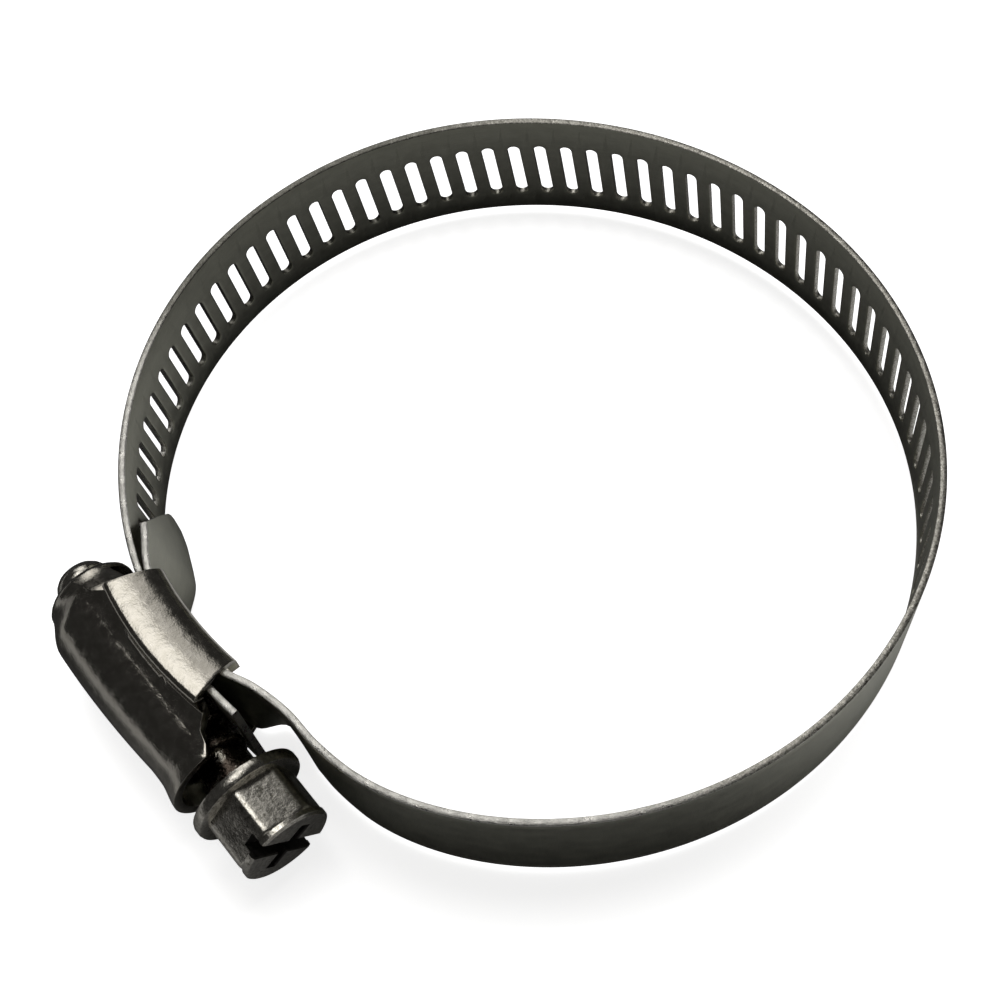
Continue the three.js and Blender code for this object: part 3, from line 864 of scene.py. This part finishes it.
def add_housing_hoods():
    """The barrel's shoulder over the closed end, above and below the strap."""
    skins = [[], []]
    for degrees in np.linspace(62, 128, 23):
        turn = math.radians(degrees)
        for skin, wall in zip(skins, (0.0, HOOD_WALL)):
            stations = [(x, barrel_radius(x) - 0.04 - wall) for x in np.linspace(BARREL_START, -11.2, 19)]
            skin.append([(x, SCREW_DISTANCE + r * math.cos(turn), r * math.sin(turn))
                         for x, r in stations])
    for side, sign in (("upper", 1), ("lower", -1)):
        grids = [np.array([mirrored(row, sign) for row in skin]) for skin in skins]
        name = f"housing_hood_{side}"
        piece = make_piece(name, mesh_from(name, *closed_sheet(*grids)), [HOUSING_FACE])
        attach(piece, "root")


# The closed end's rim round the button, as (radius, along the screw from the barrel's end).
END_WALL_PROFILE = [
    (1.95, 0.35), (1.95, -0.45), (2.1, -0.6), (3.0, -0.6), (3.35, -0.5), (3.6, -0.25),
    (3.7, 0.1), (3.7, 0.35),
]


def add_housing_end_wall():
    profile = [(radius, BARREL_START + x) for radius, x in END_WALL_PROFILE]
    points, faces = turned(profile, 72, closed=True)
    wall = make_piece("housing_end_wall", mesh_from("housing_end_wall", points, faces), [HOUSING_FACE])
    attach(wall, "root")


# ---- Screw ----

def on_screw(radius, turn, x):
    """A point about the screw's axis. The turn is in radians from +Z towards -Y."""
    return (x, -SCREW_DISTANCE - radius * math.sin(turn), BAND_WIDTH / 2 + radius * math.cos(turn))


def turned(profile, segments, closed=False):
    """A solid turned about the screw's axis from (radius, x) points."""
    points = [on_screw(r, 2 * math.pi * k / segments, x) for k in range(segments) for r, x in profile]
    size = len(profile)
    faces = []
    for k in range(segments):
        n = (k + 1) % segments
        spans = size if closed else size - 1
        for j in range(spans):
            m = (j + 1) % size
            faces.append((k * size + j, n * size + j, n * size + m, k * size + m))
    if not closed:
        faces.append([k * size for k in range(segments)])
        faces.append([k * size + size - 1 for k in range(segments)])
    return points, faces


HEX_FLAT_DISTANCE = 3.5
HEX_FIRST_FLAT = 42
HEX_SHARPNESS = 18
HEAD_END = 13.0


def hex_radius(turn):
    """The radius of the hexagon with slightly rounded corners."""
    total = 0.0
    for k in range(6):
        across = math.cos(turn - math.radians(HEX_FIRST_FLAT + 60 * k))
        total += max(0.0, across / HEX_FLAT_DISTANCE) ** HEX_SHARPNESS
    return total ** (-1 / HEX_SHARPNESS)


def head_solid():
    """The hex with its chamfered end, running out into the nearly round rim at the end face."""
    segments = 300
    stations = [7.9] + list(np.linspace(8.2, 11.4, 8)) + list(np.linspace(11.5, 12.5, 21))
    stations += [12.56, 12.7, 12.82, 12.9, 12.96, HEAD_END]
    rings = []
    for x in stations:
        ring = []
        for k in range(segments):
            turn = 2 * math.pi * k / segments
            radius = hex_radius(turn)
            cone = 3.62 + max(0.0, 12.5 - x) * 1.55
            radius = (radius**-30 + cone**-30) ** (-1 / 30)
            rim = 3.8 - 6 * max(0.0, 12.42 - x) - 0.25 * smoothstep(x, 12.78, HEAD_END) ** 2
            ring.append(on_screw(max(radius if x < 12.55 else 0.0, rim), turn, x))
        rings.append(ring)
    points = [p for ring in rings for p in ring]
    faces = []
    for start in range(0, len(points) - segments, segments):
        end = start + segments
        for k in range(segments):
            n = (k + 1) % segments
            faces.append((start + k, start + n, end + n, end + k))
    faces.append(list(range(segments)))
    faces.append([(len(rings) - 1) * segments + k for k in range(segments)])
    return points, faces


def drive_cutter(length, depth, turn_degrees, width):
    """A slot cutter, a little wider at the end face, as a slot pressed by a punch is."""
    turn = math.radians(turn_degrees)
    along = np.array([0, -math.sin(turn), math.cos(turn)])
    across = np.array([0, -math.cos(turn), -math.sin(turn)])
    centre = np.array([0, -SCREW_DISTANCE, BAND_WIDTH / 2])
    half = width / 2
    levels = [(HEAD_END - depth, half - 0.05), (HEAD_END - 0.12, half), (HEAD_END + 0.1, half + 0.14)]
    points = []
    for x, reach in levels:
        for a, b in ((-1, -1), (1, -1), (1, 1), (-1, 1)):
            place = centre + along * a * (length / 2) + across * b * reach
            points.append((x, place[1], place[2]))
    faces = [(0, 1, 2, 3), (11, 10, 9, 8)]
    for level in (0, 4):
        for k in range(4):
            n = (k + 1) % 4
            faces.append((level + k, level + n, level + 4 + n, level + 4 + k))
    return points, faces


# The screw without its hex head, as (radius, along the screw): button, journal, core, shoulder and flange.
SCREW_PROFILE = [
    (0.35, -17.9), (0.8, -17.82), (1.3, -17.65), (1.75, -17.38), (2.1, -17.0), (2.28, -16.65),
    (2.35, -16.3), (2.32, -16.05), (2.2, -15.95), (1.6, -15.93), (1.6, -14.0), (2.1, -13.9), (2.1, 5.9),
    (2.6, 6.0), (2.6, 7.0), (4.45, 7.0), (4.62, 7.08), (4.7, 7.3), (4.7, 7.8), (4.62, 8.02), (4.45, 8.1),
    (0.5, 8.1),
]


THREAD_START, THREAD_END = -13.4, 4.3
THREAD_STEPS_PER_TURN = 48
THREAD_ROOT = 1.8
THREAD_FLANK = [(THREAD_ROOT, 0.65), (2.3, 0.5), (2.75, 0.3), (2.87, 0.18)]


def worm_thread():
    """The screw's thread as one closed helical ridge that runs in and out at its ends."""
    per_turn = THREAD_STEPS_PER_TURN
    steps = round((THREAD_END - THREAD_START) / PITCH * per_turn)
    section = [(radius, -across) for radius, across in THREAD_FLANK] + [(2.9, 0.0)] + THREAD_FLANK[::-1]
    points, faces = [], []
    size = len(section)
    for i in range(steps + 1):
        turn = 2 * math.pi * i / per_turn
        fade = max(0.1, min(1.0, 4 * i / per_turn, 4 * (steps - i) / per_turn))
        along = THREAD_START + PITCH * i / per_turn
        for radius, across in section:
            reach = THREAD_ROOT + (radius - THREAD_ROOT) * fade
            points.append(on_screw(reach, THREAD_PHASE - turn, along + across))
    for i in range(steps):
        for j in range(size):
            m = (j + 1) % size
            faces.append((i * size + j, i * size + m, (i + 1) * size + m, (i + 1) * size + j))
    faces.append(list(range(size)))
    faces.append([steps * size + j for j in range(size)])
    return points, faces


def thread_phase():
    """The turn at which the CAD thread starts, read from where its crest stands at the worm's start."""
    node = frame["nodes"]["worm_screw"]
    axis = Vector(joints["screw_turn"]["pos_m"])
    total = Vector((0, 0))
    for vertex in node.data.vertices:
        place = (vertex.co - axis) / MM
        radius = math.hypot(place.y, place.z)
        if radius > 2.8 and -12.0 < place.x < 3.5:
            turn = math.atan2(-place.y, place.z) + 2 * math.pi * (place.x - THREAD_START) / PITCH
            total += Vector((math.cos(turn), math.sin(turn)))
    return math.atan2(total.y, total.x)


THREAD_PHASE = thread_phase()
DRIVE_SLOTS = ({"length": 10, "depth": 1.45, "turn_degrees": 33, "width": 1.35},
               {"length": 4.8, "depth": 1.8, "turn_degrees": 123, "width": 1.0})


def solid(name, points_and_faces, material):
    return make_piece(name, mesh_from(name, *points_and_faces), [material])


def add_screw():
    head = solid("screw_hex_head", head_solid(), SCREW_FACE)
    head.data.materials.append(SCREW_RECESS)
    for number, drive_slot in enumerate(DRIVE_SLOTS):
        cutter = solid(f"cutter_{number}", drive_cutter(**drive_slot), SCREW_RECESS)
        cut = {"object": cutter, "operation": "DIFFERENCE", "solver": "EXACT", "material_mode": "TRANSFER"}
        with_modifiers(head, ("BOOLEAN", cut))
        bpy.data.objects.remove(cutter)
    shank = solid("screw_shank", turned(SCREW_PROFILE, 96), SCREW_FACE)
    shank.data.materials.append(SCREW_IN_PAINTED_SHADE)
    for face in shank.data.polygons:
        along = face.center.x / MM - ORIGIN.x
        # Painted shade: the shank's stretch inside the housing takes the dark material.
        face.material_index = int(BARREL_START - 0.9 < along < 6.9)
    # The thread inside the housing takes the painted shade too.
    thread = solid("screw_thread", worm_thread(), SCREW_IN_PAINTED_SHADE)
    for piece in (head, shank, thread):
        piece.data.shade_smooth()
        piece.data.set_sharp_from_angle(angle=math.radians(28))
        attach(piece, "screw")
    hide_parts("worm_screw")


add_band()
add_fixed_end()
add_housing_sheet()
add_housing_hoods()
add_housing_end_wall()
add_screw()
